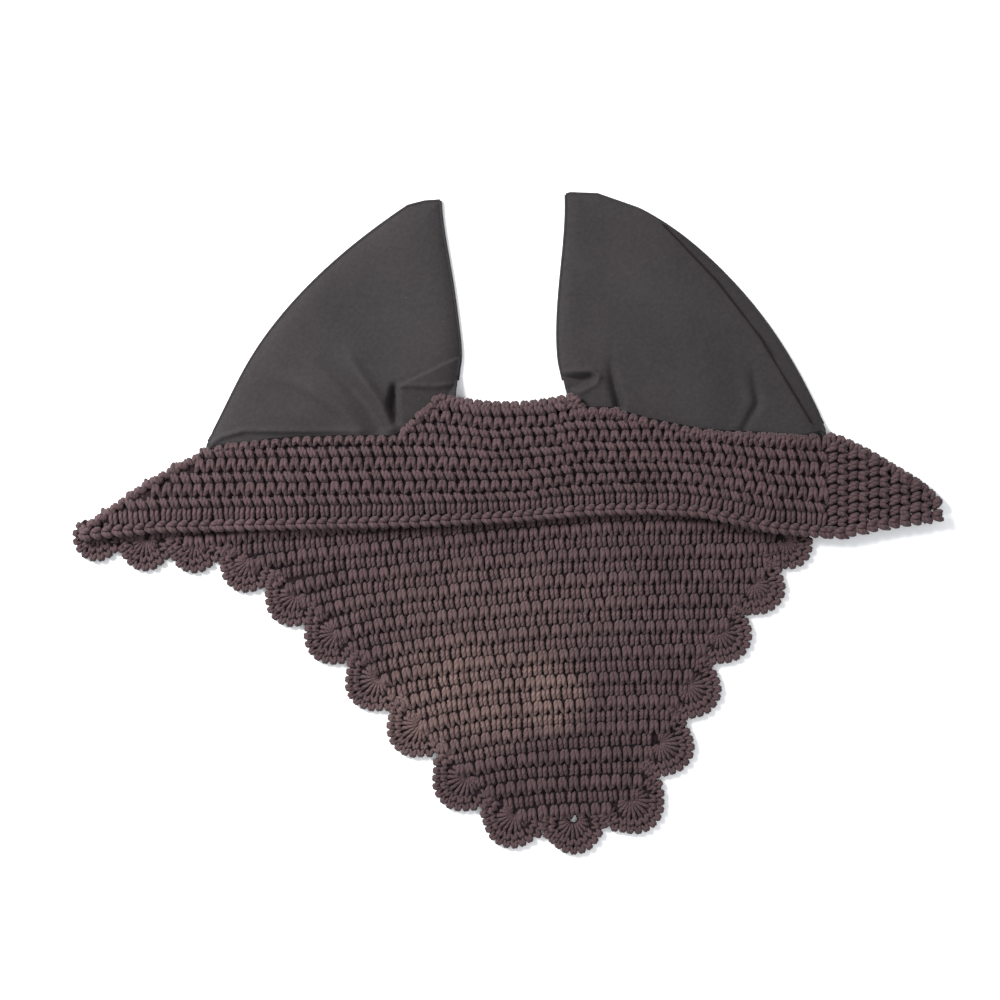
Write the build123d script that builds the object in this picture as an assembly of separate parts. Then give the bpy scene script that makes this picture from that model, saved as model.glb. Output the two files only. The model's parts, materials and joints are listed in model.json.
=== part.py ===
from build123d import *
import math
import os

# Crocheted fly mask (ear bonnet) folded flat for storage, ears up. Millimetres.
# X runs from wing tip to wing tip, +Y points to the ear tips, Z is up from the
# surface it lies on. The origin is under the middle of its box.
#
# Two crochet layers lie on each other and are one fabric at the poll fold, between
# the ears, and along the upper edge of each wing. The front layer is underneath and
# carries the forehead flap with its shell edging. The back layer, the poll band, is
# on top. The head goes in between them from the -Y side, and the ears go on into
# the two cloth ear sleeves.

yarn_layer = 4.0        # thickness of one crochet layer
head_gap = 4.6          # pocket between the layers where the head goes in
wing_gap = 0.3          # the layers all but touch in the wings
cloth = 1.2             # ear cloth with its weave and turnings
part_gap = 0.3          # room between pieces that move apart
stitch_gap = 0.2        # room between pieces of one body

band_low = yarn_layer + head_gap
band_top = band_low + yarn_layer
wing_low = yarn_layer + wing_gap
wing_top = wing_low + yarn_layer

flap_fold_y = -26.0         # crease where the forehead flap turns up
flap_left = -137.4          # the flap turns up past the fourth shell
left_fold_x = -168.5        # crease of the left wing
wing_high = 45.0            # the left wing turns up clear of the ear's base seam
right_fold_x = 182.0        # seam and crease of the right wing
left_crease = ((-178.0, 50.5), (-28.0, 88.0))       # crease across the left ear's base
right_crease = ((24.0, 88.0), (186.0, 61.0))        # crease across the right ear's base

poll_left = -42.0       # the poll fold, between the two ears
poll_right = 36.5
poll_y = 73.2           # its outermost line
cord_width = 5.0        # chain-stitched cord on the band's lower edge
fold_width = 5.0        # doubled edge along the top of a wing
seam_width = 1.6        # stitched seam where an ear meets the crochet
shell_inset = 4.5       # from a shell's centre in to the panel's margin
ear_edge = 3.0          # room between an ear's turnings and its crease
turning_share = 0.95    # the sleeve inside the turnings, as a share of the ear's outline
far = 700.0             # longer than anything here

# Shells of the edging in order from the left wing tip: centre x, y and radius
shells = [
    (-239.5, -7.5, 14.5),
    (-211.5, -12.8, 14.8),
    (-183.3, -14.5, 14.4),
    (-153.1, -24.9, 15.2),
    (-126.4, -43.6, 16.2),
    (-103.8, -65.2, 16.4),
    (-79.5, -91.6, 17.0),
    (-55.4, -118.3, 17.0),
    (-28.2, -148.8, 17.8),
    (0.4, -171.4, 16.6),
    (36.5, -174.9, 16.5),
    (71.6, -162.3, 17.4),
    (89.6, -128.8, 16.8),
    (105.4, -95.6, 16.6),
    (123.2, -64.2, 16.6),
    (143.4, -37.0, 15.6),
    (160.7, -12.6, 14.0),
    (195.0, 7.0, 11.5),
    (216.5, 11.0, 10.5),
    (236.0, 13.5, 9.0),
]

# Edges from left to right
left_wing_top = [(-252.0, -4.5), (-247.7, 0.0), (-234.9, 8.6),
                 (-211.1, 25.5), (-190.0, 37.2), (-177.5, 43.0)]
left_seam = [(-176.5, 45.3), (-122.4, 50.2), (-66.0, 50.8), (-43.5, 75.0)]
right_seam = [(33.0, 75.0), (51.6, 68.6), (80.6, 60.0), (109.6, 54.2), (167.6, 51.3), (182.5, 54.0)]
right_wing_top = [(192.6, 51.0), (208.8, 42.9), (237.2, 25.9), (247.1, 17.3), (254.0, 8.1)]
band_edge = [(-250.0, -8.5), (-200.7, -3.8), (-122.4, -2.2), (-50.0, -0.6), (0.0, 1.8),
             (42.0, 5.6), (78.0, 6.8), (108.0, 5.2), (132.0, 0.0), (150.0, -4.2),
             (187.9, -7.6), (214.0, -2.2), (251.7, 3.5)]


def region(points):
    return make_face(Polyline(*points, close=True))


def shifted(points, dy):
    return [(x, y + dy) for x, y in points]


def strip(x_low, x_high, y_low, y_high):
    return region([(x_low, y_low), (x_high, y_low), (x_high, y_high), (x_low, y_high)])


def plate(face, low, thickness):
    return extrude(Pos(0, 0, low) * face, amount=thickness, dir=(0, 0, 1))


def shrunk(face, share):
    # The same outline drawn smaller about its own centre
    middle = face.center()
    return Pos(middle.X, middle.Y) * scale(Pos(-middle.X, -middle.Y) * face, by=share)


def side_of(line, shift):
    # Everything on the left-hand side of a line, moved by shift along its normal
    (x0, y0), (x1, y1) = line
    length = math.hypot(x1 - x0, y1 - y0)
    ux, uy = (x1 - x0) / length, (y1 - y0) / length
    ax, ay = x0 - uy * shift, y0 + ux * shift
    near = [(ax - ux * far, ay - uy * far), (ax + ux * far, ay + uy * far)]
    away = [(x - uy * far, y + ux * far) for x, y in reversed(near)]
    return region(near + away)


def main_solid(piece):
    # Drops the crumbs that are left where two strips meet at a wing tip
    return piece.solids().sort_by(SortBy.VOLUME)[-1]


def arch():
    # The back layer's run over the head pocket: low in the wings, raised in the middle
    ramp = 44.0
    wires = []
    for lift in (0.0, yarn_layer):
        low, high = wing_low + lift, band_low + lift
        left_up = left_fold_x + ramp
        right_up = right_fold_x - ramp
        wires.append([
            Line((-far, low), (left_fold_x, low)),
            Spline((left_fold_x, low), (left_up, high), tangents=[(1, 0), (1, 0)]),
            Line((left_up, high), (right_up, high)),
            Spline((right_up, high), (right_fold_x, low), tangents=[(1, 0), (1, 0)]),
            Line((right_fold_x, low), (far, low)),
        ])
    ends = [Line((x, wing_low), (x, wing_top)) for x in (-far, far)]
    section = make_face(wires[0] + wires[1] + ends)
    return extrude(Plane.XZ * section, amount=far, both=True)


def margin():
    # The front layer's lower edge runs just inside the centres of its shells
    points = []
    last = len(shells) - 1
    for number, (x, y, _) in enumerate(shells):
        x0, y0, _ = shells[max(number - 1, 0)]
        x1, y1, _ = shells[min(number + 1, last)]
        chord = math.hypot(x1 - x0, y1 - y0)
        points.append((x - (y1 - y0) / chord * shell_inset, y + (x1 - x0) / chord * shell_inset))
    return points


def upper_edge():
    poll = [(poll_left, poll_y), (poll_right, poll_y)]
    return left_wing_top + left_seam + poll + right_seam[1:] + right_wing_top


def whole_front():
    return region(upper_edge() + list(reversed(margin())))


def whole_back():
    return region(upper_edge() + list(reversed(band_edge)))


def grown(face):
    return offset(face, amount=stitch_gap, kind=Kind.INTERSECTION)


def wing_folds():
    # The doubled edges that join the two layers along the top of each wing
    faces = []
    for points in (left_wing_top, right_seam[-1:] + right_wing_top):
        faces.append(region(points + list(reversed(shifted(points, -fold_width)))) & whole_back())
    return faces


def round_of_poll():
    # The layers stop where the round of the poll fold begins
    return strip(-60.0, 55.0, poll_y - band_top / 2, far)


def front_layer():
    face = whole_front() - round_of_poll()
    for fold in wing_folds():
        face -= grown(fold)
    return face


def whole_cord():
    return region(shifted(band_edge, cord_width) + list(reversed(band_edge)))


def edge_cord():
    face = whole_cord()
    for fold in wing_folds():
        face -= grown(fold)
    return face


def back_layer():
    face = whole_back() - round_of_poll() - grown(whole_cord())
    for fold in wing_folds():
        face -= grown(fold)
    return face


def split_by_folds(face):
    # Left wing, middle and right wing
    half = part_gap / 2
    return (
        face & strip(-far, left_fold_x - half, -far, wing_high),
        face & strip(left_fold_x + half, right_fold_x - half, -far, far),
        face & strip(right_fold_x + half, far, -far, far),
    )


def shell(number, panel):
    # A fan of stitches: a disc cut off by the panel and by the shell before it
    x, y, radius = shells[number]
    face = Pos(x, y) * Circle(radius) - panel
    face -= side_of((left_wing_top[0], left_wing_top[-1]), 0)
    if number:
        x0, y0, radius0 = shells[number - 1]
        face -= Pos(x0, y0) * Circle(radius0 + part_gap)
    return face


def poll_fold():
    outer = band_top / 2
    inner = head_gap / 2
    ring = Circle(outer) - Circle(inner)
    half = ring & Pos(outer, 0) * Rectangle(2 * outer, 4 * outer)
    section = Plane.YZ * Pos(poll_y - outer + stitch_gap, outer) * half
    return Pos(poll_left, 0, 0) * extrude(section, amount=poll_right - poll_left, dir=(1, 0, 0))


def left_ear_outline():
    outer = Spline((-176.0, 46.0), (-168.5, 60.5), (-151.0, 94.5),
                   (-124.2, 130.0), (-95.0, 157.8), (-59.5, 184.2))
    tip = Polyline((-59.5, 184.2), (-50.0, 186.6), (-41.0, 187.2))
    inner = Spline((-41.0, 187.2), (-35.0, 145.0), (-30.2, 110.0), (-31.0, 88.0), (-42.0, 77.4))
    base = Polyline((-42.0, 77.4), *reversed(shifted(left_seam, stitch_gap)[:3]), (-176.0, 46.0))
    return make_face(outer.edges() + tip.edges() + inner.edges() + base.edges())


def right_ear_outline():
    inner = Spline((33.0, 77.0), (29.0, 88.0), (27.0, 106.0), (29.6, 150.0), (31.8, 190.6))
    tip = Polyline((31.8, 190.6), (34.5, 191.4), (50.0, 190.8), (74.0, 182.4))
    outer = Spline((74.0, 182.4), (101.5, 164.7), (120.0, 148.2),
                   (150.0, 113.0), (171.0, 77.9), (182.0, 54.6))
    base = Polyline((182.0, 54.6), *reversed(shifted(right_seam, stitch_gap)[1:5]), (33.0, 77.0))
    return make_face(inner.edges() + tip.edges() + outer.edges() + base.edges())


def ear_pieces(side, outline, seam, crease, tip_x):
    # One cloth sleeve: two panels, their turnings, the base below the crease, the base seam
    half = part_gap / 2
    upper = outline & side_of(crease, half)
    lower = outline - side_of(crease, -half)
    under_seam = region(shifted(seam, seam_width + stitch_gap) + [(seam[-1][0], -far), (seam[0][0], -far)])
    lower = lower - under_seam
    seam_face = outline & under_seam - side_of(crease, -half)
    back_low = yarn_layer - cloth
    turning = upper - shrunk(outline, turning_share)
    turning = turning & side_of(crease, half + ear_edge + stitch_gap)
    outer_half = strip(-far, tip_x - stitch_gap, -far, far)
    inner_half = strip(tip_x + stitch_gap, far, -far, far)
    if side == "right":
        outer_half, inner_half = inner_half, outer_half
    inside = yarn_layer + stitch_gap
    depth = head_gap - 2 * stitch_gap
    return {
        f"{side}_ear_back_panel": plate(upper, back_low, cloth),
        f"{side}_ear_front_panel": plate(upper, band_low, cloth),
        f"{side}_ear_outer_seam": plate(turning & outer_half, inside, depth),
        f"{side}_ear_inner_seam": plate(turning & inner_half, inside, depth),
        f"{side}_ear_base_back": plate(lower, back_low, cloth),
        f"{side}_ear_base_front": plate(lower, band_low, cloth),
        f"{side}_ear_base_seam": plate(seam_face, back_low, cloth) + plate(seam_face, band_low, cloth),
    }


def crochet_pieces():
    half = part_gap / 2
    over = arch()
    pieces = {}
    front = front_layer()
    left_front, middle, right_front = split_by_folds(front)
    pieces["left_wing_front"] = plate(left_front, 0, yarn_layer)
    pieces["right_wing_front"] = plate(right_front, 0, yarn_layer)
    pieces["crown_panel"] = plate(middle & strip(-far, far, flap_fold_y + half, far), 0, yarn_layer)
    pieces["forehead_flap"] = plate(middle & strip(flap_left, far, -far, flap_fold_y - half), 0, yarn_layer)

    tall = 2 * band_top
    names = ("left_wing_back", "poll_band", "right_wing_back")
    for name, face in zip(names, split_by_folds(back_layer())):
        pieces[name] = main_solid(plate(face, 0, tall) & over)
    names = ("left_wing_edge_cord", "band_edge_cord", "right_wing_edge_cord")
    for name, face in zip(names, split_by_folds(edge_cord())):
        pieces[name] = plate(face, 0, tall) & over
    left_fold, right_fold = wing_folds()
    pieces["left_wing_fold"] = plate(left_fold, 0, wing_top)
    pieces["right_wing_fold"] = plate(right_fold, 0, wing_top)
    pieces["poll_fold"] = poll_fold()

    panel = grown(whole_front())
    for number in range(len(shells)):
        face = shell(number, panel) - grown(left_fold) - grown(right_fold)
        x, y, _ = shells[number]
        if x < left_fold_x:
            face &= strip(-far, left_fold_x - half, -far, far)
        elif x > right_fold_x:
            face &= strip(right_fold_x + half, far, -far, far)
        elif y > flap_fold_y:
            # The shells beside the flap's crease stay on the crown, clear of the flap
            face &= strip(left_fold_x + half, right_fold_x - half, -far, far)
            if x > 0:
                face &= strip(0, far, flap_fold_y + half, far)
        else:
            face &= strip(-far, far, -far, flap_fold_y - half)
        pieces[f"shell_{number + 1:02d}"] = plate(face, 0, yarn_layer)
    return pieces


def write(pieces):
    os.makedirs("parts", exist_ok=True)
    for name, piece in pieces.items():
        export_step(piece, f"parts/{name}.step")
        print(name, len(piece.solids()), round(piece.volume))


everything = crochet_pieces()
everything.update(ear_pieces("left", left_ear_outline(), left_seam, left_crease, -50.0))
everything.update(ear_pieces("right", right_ear_outline(), right_seam, right_crease, 42.0))
write(everything)
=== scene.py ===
import json
import math

import bpy
import numpy as np
from mathutils import Matrix, Vector, noise
from mathutils.bvhtree import BVHTree

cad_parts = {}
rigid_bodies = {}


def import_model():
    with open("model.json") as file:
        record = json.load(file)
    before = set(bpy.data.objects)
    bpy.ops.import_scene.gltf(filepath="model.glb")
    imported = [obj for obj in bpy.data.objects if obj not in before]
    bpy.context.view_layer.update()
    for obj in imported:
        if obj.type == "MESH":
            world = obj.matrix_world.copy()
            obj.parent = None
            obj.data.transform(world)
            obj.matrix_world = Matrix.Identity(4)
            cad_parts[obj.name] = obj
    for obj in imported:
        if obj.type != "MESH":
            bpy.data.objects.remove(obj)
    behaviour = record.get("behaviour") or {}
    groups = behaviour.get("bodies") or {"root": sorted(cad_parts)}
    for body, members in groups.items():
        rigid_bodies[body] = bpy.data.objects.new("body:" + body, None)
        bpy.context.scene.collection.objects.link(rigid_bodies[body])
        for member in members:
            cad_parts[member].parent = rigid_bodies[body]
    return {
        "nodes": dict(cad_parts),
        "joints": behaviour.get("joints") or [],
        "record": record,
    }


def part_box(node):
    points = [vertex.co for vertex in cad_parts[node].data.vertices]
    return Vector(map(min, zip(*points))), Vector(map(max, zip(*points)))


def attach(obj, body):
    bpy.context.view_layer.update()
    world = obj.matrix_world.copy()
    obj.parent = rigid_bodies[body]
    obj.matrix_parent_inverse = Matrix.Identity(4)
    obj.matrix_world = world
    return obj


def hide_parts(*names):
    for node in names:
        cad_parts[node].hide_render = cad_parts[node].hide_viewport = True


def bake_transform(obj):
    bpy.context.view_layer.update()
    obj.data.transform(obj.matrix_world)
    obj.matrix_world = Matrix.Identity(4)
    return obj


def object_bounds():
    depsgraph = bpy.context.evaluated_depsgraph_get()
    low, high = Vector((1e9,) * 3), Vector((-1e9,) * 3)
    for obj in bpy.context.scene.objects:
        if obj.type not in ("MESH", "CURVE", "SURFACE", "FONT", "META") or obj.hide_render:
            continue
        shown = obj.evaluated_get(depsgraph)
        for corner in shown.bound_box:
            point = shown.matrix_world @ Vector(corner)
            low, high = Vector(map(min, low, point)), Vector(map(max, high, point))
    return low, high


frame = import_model()
cadBox = [list(corner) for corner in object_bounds()]
mm = 0.001
scene = bpy.context.scene


# what every part of the work shares
yarn = {
    "layer": 4.0 * mm,      # thickness of one crochet layer
    "pitch": 6.1 * mm,      # one stitch along a row
    "seed": 7,
}


def newObject(name, data):
    obj = bpy.data.objects.new(name, data)
    scene.collection.objects.link(obj)
    return obj


def newMesh(name, points, faces, edges=(), paints=()):
    mesh = bpy.data.meshes.new(name)
    mesh.from_pydata(points, list(edges), faces)
    for paint in paints:
        mesh.materials.append(paint)
    return mesh


def worked(obj):
    # a plain mesh of the object, with its modifiers worked out
    graph = bpy.context.evaluated_depsgraph_get()
    graph.update()
    return bpy.data.meshes.new_from_object(obj.evaluated_get(graph))


def smoothStep(low, high, value):
    t = min(max((value - low) / (high - low), 0.0), 1.0)
    return t * t * (3 - 2 * t)


def jointNamed(name):
    return next(j for j in frame["joints"] if j["name"] == name)


def softNoise(x, y, size, layer=0.0):
    return noise.noise(Vector((x / size, y / size, layer)))


def polar(angle):
    return Vector((math.cos(angle), math.sin(angle)))


# the outlines and heights of the CAD nodes
def cadTree(*names):
    verts, faces = [], []
    for name in names:
        mesh = frame["nodes"][name].data
        start = len(verts)
        verts += [v.co.copy() for v in mesh.vertices]
        faces += [[start + i for i in p.vertices] for p in mesh.polygons]
    return BVHTree.FromPolygons(verts, faces)


def topOf(tree, x, y):
    # highest CAD face over a place, or None outside the outline
    hit = tree.ray_cast(Vector((x, y, 1.0)), Vector((0, 0, -1)))
    return None if hit[0] is None else hit[0].z


def diagonals(reach):
    return (reach, reach), (-reach, -reach), (reach, -reach), (-reach, reach)


def covers(tree, x, y, reach=0.6 * mm):
    return any(topOf(tree, x + dx, y + dy) is not None for dx, dy in ((0, 0), *diagonals(reach)))


def inside(tree, x, y, reach=1.4 * mm):
    return all(covers(tree, x + dx, y + dy, 0.4 * mm) for dx, dy in diagonals(reach))


def edgeOf(tree, fromY, toY):
    # the first y, coming from one side, where some CAD nodes lie under each x
    xs, ys = [], []
    for x in np.arange(cadBox[0][0] + 0.5 * mm, cadBox[1][0], 2 * mm):
        steps = np.arange(fromY, toY, math.copysign(0.4 * mm, toY - fromY))
        y = next((y for y in steps if topOf(tree, x, y) is not None), None)
        if y is not None:
            xs.append(float(x))
            ys.append(float(y))
    smooth = np.convolve(np.pad(ys, 1, mode="edge"), (0.25, 0.5, 0.25), mode="valid")
    return xs, list(smooth)


rimFit = {"tries": 300, "least": 8 * mm, "most": 19 * mm, "near": 0.03 * mm}


def circleOf(name):
    # centre and radius of the round edge of a CAD shell
    pts = sorted({(round(v.co.x, 6), round(v.co.y, 6)) for v in frame["nodes"][name].data.vertices})
    pts = np.array(pts)
    picker = np.random.default_rng(yarn["seed"])
    best = (0, None)
    for _ in range(rimFit["tries"]):
        a, b, c = pts[picker.choice(len(pts), 3, replace=False)]
        m = np.array([b - a, c - a]) * 2
        if abs(np.linalg.det(m)) < 1e-7:
            continue
        centre = np.linalg.solve(m, [b @ b - a @ a, c @ c - a @ a])
        radius = np.linalg.norm(a - centre)
        if not rimFit["least"] < radius < rimFit["most"]:
            continue
        near = np.abs(np.linalg.norm(pts - centre, axis=1) - radius) < rimFit["near"]
        if near.sum() > best[0]:
            best = (near.sum(), (centre[0], centre[1], radius))
    return best[1]


# yarn: a strand is its points, its faces and the (round, along) of their corners; its path is in millimetres
def smoothPath(path, radii, rings):
    path = [Vector(p) for p in path]
    count = len(path)
    centres, widths = [], []
    for i in range(rings + 1):
        t = i / rings * (count - 1)
        k = min(int(t), count - 2)
        f = t - k
        p0, p1, p2, p3 = (path[min(max(k + d, 0), count - 1)] for d in (-1, 0, 1, 2))
        centres.append(0.5 * (2 * p1 + (p2 - p0) * f + (2 * p0 - 5 * p1 + 4 * p2 - p3) * f * f
                              + (3 * p1 - p0 - 3 * p2 + p3) * f ** 3))
        widths.append(float(np.interp(t, range(count), radii)))
    return centres, widths


def strand(path, radii, rings=4, sides=6):
    centres, widths = smoothPath(path, radii, rings)
    points, faces, corners = [], [], []
    side = None
    along = [0.0]
    for a, b in zip(centres, centres[1:]):
        along.append(along[-1] + (b - a).length)
    for i, (centre, width) in enumerate(zip(centres, widths)):
        tangent = (centres[min(i + 1, rings)] - centres[max(i - 1, 0)]).normalized()
        if side is None:
            side = tangent.cross(Vector((0, 0, 1)) if abs(tangent.z) < 0.9 else Vector((0, 1, 0)))
        side = (side - tangent * side.dot(tangent)).normalized()
        up = side.cross(tangent)
        for j in range(sides):
            a = 2 * math.pi * j / sides
            points.append((centre + (side * math.cos(a) + up * math.sin(a)) * width) * mm)
    for i in range(rings):
        for j in range(sides):
            a, b = i * sides + j, i * sides + (j + 1) % sides
            faces.append((a, a + sides, b + sides, b))
            u0, u1 = j / sides, (j + 1) / sides
            corners.append([(u0, along[i]), (u0, along[i + 1]), (u1, along[i + 1]), (u1, along[i])])
    faces.append(tuple(range(sides)))
    corners.append([(j / sides, along[0]) for j in range(sides)])
    faces.append(tuple(reversed(range(rings * sides, (rings + 1) * sides))))
    corners.append([(j / sides, along[-1]) for j in reversed(range(sides))])
    return points, faces, corners


def yarnMesh(name, strands, paints=()):
    points, faces, corners = [], [], []
    for p, f, c in strands:
        start = len(points)
        points += p
        faces += [tuple(start + i for i in face) for face in f]
        corners += c
    mesh = newMesh(name, points, faces, paints=paints)
    layer = mesh.uv_layers.new(name="ply")
    layer.data.foreach_set("uv", [value for face in corners for uv in face for value in uv])
    mesh.polygons.foreach_set("use_smooth", [True] * len(mesh.polygons))
    mesh.update()
    return mesh


def pairOf(path, radii, rings=4, sides=6, flip=(-1, 1)):
    # a strand and its mirror image
    other = [(x * flip[0], y * flip[1], z) for x, y, z in path]
    return [strand(path, radii, rings, sides), strand(other, radii, rings, sides)]


def stitchUnits():
    # the stitches, each about its own middle: X along the row, Y up to the next row, Z out of the face
    arch = [(-2.75, -3.3, -0.9), (-2.3, -1.9, 0.2), (-1.2, 0.0, 1.0), (-0.85, 1.6, 0.85), (-0.6, 3.0, -0.6)]
    lean = [(-4.1, 3.1, -0.6), (-3.3, 1.6, 0.65), (-2.3, 0.0, 0.95), (-1.4, -1.6, 0.75), (-0.9, -3.0, -0.5)]
    beside = [(-2.2, 3.1, -0.6), (-1.3, 1.6, 0.65), (-0.2, 0.0, 0.95), (0.55, -1.6, 0.75), (0.8, -3.0, -0.5)]
    blob = [(-2.6, -3.5, -0.9), (-2.2, -2.4, 0.2), (-1.6, -1.1, 0.9),
            (-1.2, 0.4, 1.25), (-1.1, 1.7, 0.9), (-0.8, 2.9, -0.8)]
    bars = [(-1.3, -3.2, -0.9), (-1.25, -1.6, 0.2), (-1.25, 0.2, 0.45), (-1.35, 1.8, 0.2), (-1.7, 3.2, -0.7)]
    knob = [(-2.1, -3.2, -0.8), (-1.8, -1.6, 0.4), (-1.0, 0.3, 0.95),
            (-0.8, 1.9, 0.3), (-0.8, 2.1, -0.7), (-1.0, 0.8, -1.1)]
    back = [(-2.9, 0.2, -0.6), (-1.0, 1.1, -1.1), (1.0, 1.1, -1.1), (2.9, 0.2, -0.6)]
    behind = [strand(back, [0.85] * 4, 3, 5)]
    leg = [(-2.3, -3.1, -0.8), (-1.7, -1.0, -1.15), (-0.9, 1.0, -1.15), (-0.7, 2.9, -0.8)]
    underside = behind + pairOf(leg, [0.75, 0.85, 0.85, 0.75], 3, 5)
    link = [(-3.6, -0.4, -1.0), (-2.0, 0.5, 0.4), (0.2, 1.45, 1.2), (2.2, 2.2, 0.8), (3.0, 2.1, -0.8)]
    post = [(0, -5.2, -0.2), (0.1, -2.5, 0.5), (-0.1, 0.0, 0.75), (0.1, 2.5, 0.6), (0, 5.2, -0.5)]
    postBehind = [(x, y, -0.5 * z - 0.65) for x, y, z in post]
    return {
        "arch": pairOf(arch, [0.75, 1.15, 1.65, 1.7, 1.0], 5) + behind,
        "lean": [strand(p, [0.75, 1.25, 1.6, 1.4, 0.85], 5) for p in (lean, beside)] + behind,
        "blob": pairOf(blob, [0.8, 1.0, 1.35, 1.75, 1.75, 1.0], 6) + underside,
        "bars": pairOf(bars, [1.0, 1.3, 1.4, 1.3, 1.0]) + underside,
        "post": [strand(post, [0.6, 0.8, 0.95, 1.15, 1.1], 5),
                 strand(postBehind, [0.5, 0.7, 0.8, 0.9, 0.9], 3, 5)],
        "link": pairOf(link, [0.5, 1.3, 1.9, 1.85, 0.8], 5, flip=(1, -1)),
        "knob": pairOf(knob, [0.8, 1.25, 1.75, 1.9, 1.7, 0.9], 6) + underside,
    }


def makeUnits(shapes):
    # a collection hands its objects out in the order of their names, so each name starts with a number
    group = bpy.data.collections.new("stitchUnits")
    for number, (name, strands) in enumerate(shapes.items()):
        group.objects.link(bpy.data.objects.new(f"{number}_{name}", yarnMesh(name, strands)))
    return group


stitchShapes = stitchUnits()
units = makeUnits(stitchShapes)
kindOf = {name: number for number, name in enumerate(stitchShapes)}


# node trees
def setSocket(tree, socket, value):
    if isinstance(value, bpy.types.NodeSocket):
        tree.links.new(value, socket)
    else:
        socket.default_value = value


def addNode(tree, kind, settings=None, values=None):
    node = tree.nodes.new(kind)
    for key, value in (settings or {}).items():
        setattr(node, key, value)
    for key, value in (values or {}).items():
        setSocket(tree, node.inputs[key], value)
    return node


def mathNode(tree, operation, *values, clamp=False):
    settings = {"operation": operation, "use_clamp": clamp}
    return addNode(tree, "ShaderNodeMath", settings, dict(enumerate(values))).outputs[0]


def vectorNode(tree, operation, values):
    return addNode(tree, "ShaderNodeVectorMath", {"operation": operation}, values).outputs[0]


def enabledSocket(sockets, name="Value"):
    return next(s for s in sockets if s.name == name and s.enabled)


def openTree(name, inputs):
    tree = bpy.data.node_groups.new(name, "GeometryNodeTree")
    tree.interface.new_socket(name="Geometry", in_out="OUTPUT", socket_type="NodeSocketGeometry")
    shared = {"Geometry": "Geometry", "Turn Spread": "Float", "Seed": "Int", "Material": "Material"}
    for label, kind in {**shared, **inputs}.items():
        tree.interface.new_socket(name=label, in_out="INPUT", socket_type="NodeSocket" + kind)
    return tree, tree.nodes.new("NodeGroupInput")


def smallTurn(tree, groupIn):
    # a random turn about each axis, as far as the spread lets it
    wobble = addNode(tree, "FunctionNodeRandomValue", {"data_type": "FLOAT_VECTOR"},
                     {"Min": (-1, -1, -1), "Max": (1, 1, 1), "Seed": groupIn.outputs["Seed"]})
    return vectorNode(tree, "SCALE", {"Vector": wobble.outputs[0], "Scale": groupIn.outputs["Turn Spread"]})


def finishTree(tree, groupIn, laid):
    # gives each laid unit a tint of its own, then makes them all one painted mesh
    tint = addNode(tree, "FunctionNodeRandomValue", {"data_type": "FLOAT"})
    stored = addNode(tree, "GeometryNodeStoreNamedAttribute", {"data_type": "FLOAT", "domain": "INSTANCE"},
                     {"Geometry": laid.outputs[0], "Name": "tint"})
    tree.links.new(enabledSocket(tint.outputs), enabledSocket(stored.inputs))
    solid = addNode(tree, "GeometryNodeRealizeInstances", values={"Geometry": stored.outputs[0]})
    painted = addNode(tree, "GeometryNodeSetMaterial",
                      values={"Geometry": solid.outputs[0], "Material": groupIn.outputs["Material"]})
    tree.links.new(painted.outputs[0], tree.nodes.new("NodeGroupOutput").inputs[0])
    return tree


def stitchTree():
    # sets one stitch of the collection on each point, turned and sized by the point's own attributes
    tree, groupIn = openTree("layStitches", {"Stitches": "Collection", "Size Spread": "Float"})
    pick = {}
    for name, kind in (("kind", "INT"), ("turn", "FLOAT_VECTOR"), ("size", "FLOAT_VECTOR")):
        own = addNode(tree, "GeometryNodeInputNamedAttribute", {"data_type": kind}, {"Name": name})
        pick[name] = own.outputs[0]
    angles = vectorNode(tree, "ADD", {0: pick["turn"], 1: smallTurn(tree, groupIn)})
    turned = addNode(tree, "FunctionNodeEulerToRotation", values={"Euler": angles})
    grow = addNode(tree, "FunctionNodeRandomValue", {"data_type": "FLOAT"})
    tree.links.new(groupIn.outputs["Seed"], enabledSocket(grow.inputs, "Seed"))
    for name, operation in (("Min", "SUBTRACT"), ("Max", "ADD")):
        limit = mathNode(tree, operation, 1.0, groupIn.outputs["Size Spread"])
        tree.links.new(limit, enabledSocket(grow.inputs, name))
    sized = vectorNode(tree, "SCALE", {"Vector": pick["size"], "Scale": enabledSocket(grow.outputs)})
    source = addNode(tree, "GeometryNodeCollectionInfo", values={
        "Collection": groupIn.outputs["Stitches"], "Separate Children": True, "Reset Children": True})
    laid = addNode(tree, "GeometryNodeInstanceOnPoints", values={
        "Points": groupIn.outputs["Geometry"], "Instance": source.outputs[0], "Pick Instance": True,
        "Instance Index": pick["kind"], "Rotation": turned.outputs[0], "Scale": sized})
    return finishTree(tree, groupIn, laid)


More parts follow.
